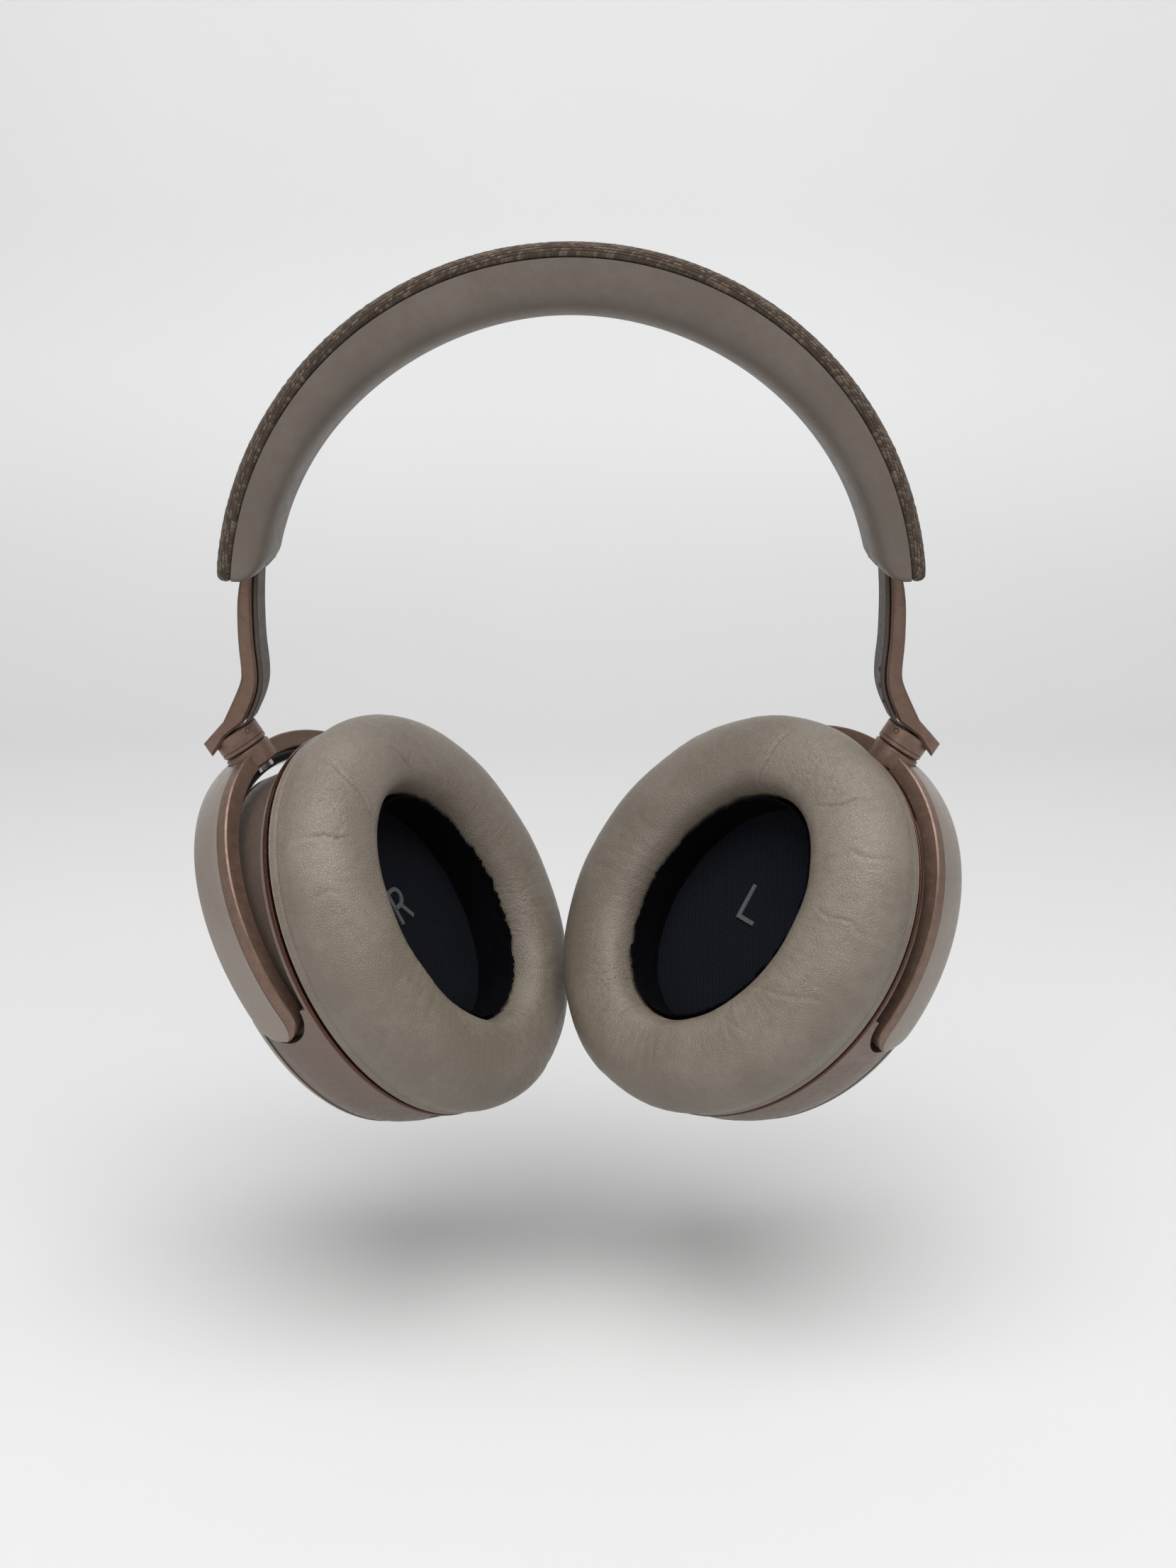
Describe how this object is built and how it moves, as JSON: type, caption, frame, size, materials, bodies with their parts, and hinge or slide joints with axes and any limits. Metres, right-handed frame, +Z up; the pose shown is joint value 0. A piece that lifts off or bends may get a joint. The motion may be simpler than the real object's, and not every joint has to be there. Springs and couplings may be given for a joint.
{
  "type": "over ear headphones",
  "caption": "Wireless over-ear headphones with a padded fabric-covered headband, sliding copper-toned arms, swivelling yokes and oval leather ear cushions.",
  "frame": {"origin": "middle of the headband pad's underside, where the headband rests on a head", "axes": "+Z up, +X towards the wearer's left, -Y the way the wearer faces"},
  "size_m": [0.1782, 0.0918, 0.2075],
  "materials": {
    "woven_cover": "woven, mottled brown and taupe",
    "band_leather": "soft, matte",
    "cushion_leather": "soft, fine grain",
    "ear_liner": "fine twill",
    "copper_metal": "satin copper",
    "copper_trim": "bright copper",
    "dark_copper_shell": "satin, dark copper brown",
    "satin_shell": "fine satin",
    "spring_steel": "brushed",
    "pin_steel": "brushed",
    "magnet_steel": "plain",
    "socket_steel": "plain",
    "mesh_metal": "fine mesh",
    "black_plastic": "moulded",
    "driver_plastic": "moulded",
    "button_plastic": "satin",
    "board": "solder resist",
    "battery_foil": "foil wrapped",
    "clear_lens": "clear"
  },
  "bodies": {
    "headband": {"headband_cover": "woven_cover", "headband_spring": "spring_steel", "headband_pad": "band_leather", "slider_guide_right": "black_plastic", "slider_guide_left": "black_plastic"},
    "right_arm": {"arm_shell_right": "copper_metal", "arm_cover_right": "satin_shell", "slider_blade_right": "spring_steel"},
    "right_yoke": {"yoke_right": "copper_metal", "yoke_cover_right": "satin_shell", "swivel_pin_right": "pin_steel", "tilt_pin_front_right": "pin_steel", "tilt_pin_rear_right": "pin_steel"},
    "right_cup": {"cup_shell_right": "dark_copper_shell", "outer_cover_right": "satin_shell", "trim_ring_right": "copper_trim", "baffle_right": "black_plastic", "cushion_frame_right": "black_plastic", "liner_right": "ear_liner", "ear_cushion_right": "cushion_leather", "driver_right": "driver_plastic", "driver_magnet_right": "magnet_steel", "circuit_board_right": "board", "mic_mesh_right": "mesh_metal", "charging_socket": "socket_steel", "status_lens": "clear_lens"},
    "left_arm": {"arm_shell_left": "copper_metal", "arm_cover_left": "satin_shell", "slider_blade_left": "spring_steel"},
    "left_yoke": {"yoke_left": "copper_metal", "yoke_cover_left": "satin_shell", "swivel_pin_left": "pin_steel", "tilt_pin_front_left": "pin_steel", "tilt_pin_rear_left": "pin_steel"},
    "left_cup": {"cup_shell_left": "dark_copper_shell", "outer_cover_left": "satin_shell", "trim_ring_left": "copper_trim", "baffle_left": "black_plastic", "cushion_frame_left": "black_plastic", "liner_left": "ear_liner", "ear_cushion_left": "cushion_leather", "driver_left": "driver_plastic", "driver_magnet_left": "magnet_steel", "circuit_board_left": "board", "mic_mesh_left": "mesh_metal", "battery_left": "battery_foil"},
    "volume_up_key": {"volume_up_button": "button_plastic"},
    "play_key": {"play_button": "button_plastic"},
    "volume_down_key": {"volume_down_button": "button_plastic"},
    "power_key": {"power_button": "button_plastic"},
    "noise_key": {"noise_button": "button_plastic"}
  },
  "joints": [
    {"name": "right_slide", "type": "slide", "parent": "headband", "child": "right_arm", "axis": [-0.1564, 0, -0.9877], "range_m": [0, 0.016]},
    {"name": "right_swivel", "type": "hinge", "parent": "right_arm", "child": "right_yoke", "pos_m": [-0.0778, 0, -0.10031], "axis": [0.5329, 0, -0.8462], "range_deg": [-36, 64], "deforming": ["ear_cushion_right"]},
    {"name": "right_tilt", "type": "hinge", "parent": "right_yoke", "child": "right_cup", "pos_m": [-0.05025, 0, -0.14406], "axis": [-0.3709, -0.8988, -0.2336], "range_deg": [-5.5, 8.5]},
    {"name": "left_slide", "type": "slide", "parent": "headband", "child": "left_arm", "axis": [0.1564, 0, -0.9877], "range_m": [0, 0.016]},
    {"name": "left_swivel", "type": "hinge", "parent": "left_arm", "child": "left_yoke", "pos_m": [0.0778, 0, -0.10031], "axis": [0.5329, 0, 0.8462], "range_deg": [-50.2, 49.8], "deforming": ["ear_cushion_left"]},
    {"name": "left_tilt", "type": "hinge", "parent": "left_yoke", "child": "left_cup", "pos_m": [0.05025, 0, -0.14406], "axis": [-0.5462, 0.7638, 0.3439], "range_deg": [-12, 0.5]},
    {"name": "volume_up_press", "type": "slide", "parent": "right_cup", "child": "volume_up_key", "axis": [-0.5378, -0.8261, 0.1684], "range_m": [0, 0.0005], "stiffness_N_per_m": 800},
    {"name": "play_press", "type": "slide", "parent": "right_cup", "child": "play_key", "axis": [-0.5799, -0.7388, 0.3432], "range_m": [0, 0.0005], "stiffness_N_per_m": 800},
    {"name": "volume_down_press", "type": "slide", "parent": "right_cup", "child": "volume_down_key", "axis": [-0.5992, -0.6163, 0.511], "range_m": [0, 0.0005], "stiffness_N_per_m": 800},
    {"name": "power_press", "type": "slide", "parent": "right_cup", "child": "power_key", "axis": [-0.5873, -0.4304, 0.6854], "range_m": [0, 0.0005], "stiffness_N_per_m": 800},
    {"name": "noise_press", "type": "slide", "parent": "left_cup", "child": "noise_key", "axis": [0.7844, -0.5818, 0.2147], "range_m": [0, 0.0005], "stiffness_N_per_m": 800}
  ]
}
